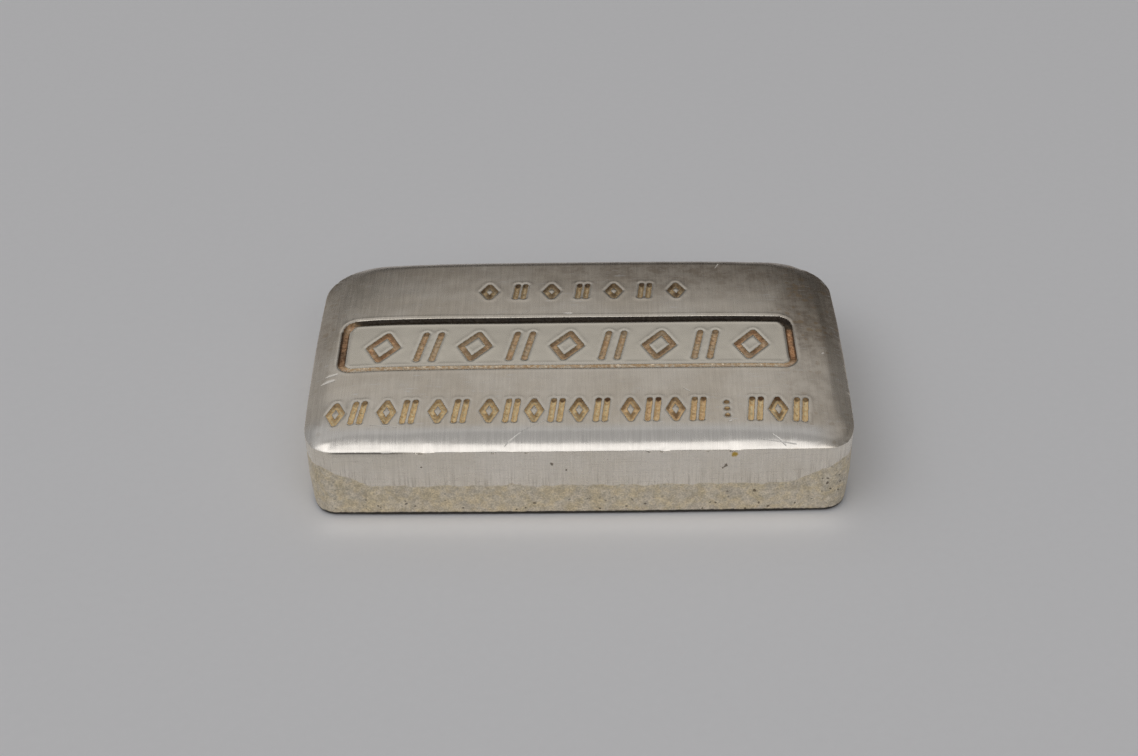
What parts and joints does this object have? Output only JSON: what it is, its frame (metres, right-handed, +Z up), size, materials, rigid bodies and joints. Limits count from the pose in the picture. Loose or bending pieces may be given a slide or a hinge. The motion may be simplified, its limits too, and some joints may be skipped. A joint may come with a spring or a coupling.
{
  "type": "silver bar",
  "caption": "Small cast and pressed silver bar with rounded corners, a crowned top, rolled top edges and a plain stamped frame groove.",
  "frame": {"origin": "on the floor under the middle of the bar", "axes": "+X along the length, +Y across towards the back side, +Z up through the crowned, stamped face"},
  "size_m": [0.0658, 0.0412, 0.0116],
  "materials": {
    "bar": "satin, softly brushed, warm grey silver"
  },
  "bodies": {
    "root": {"bar": "bar"}
  },
  "joints": []
}
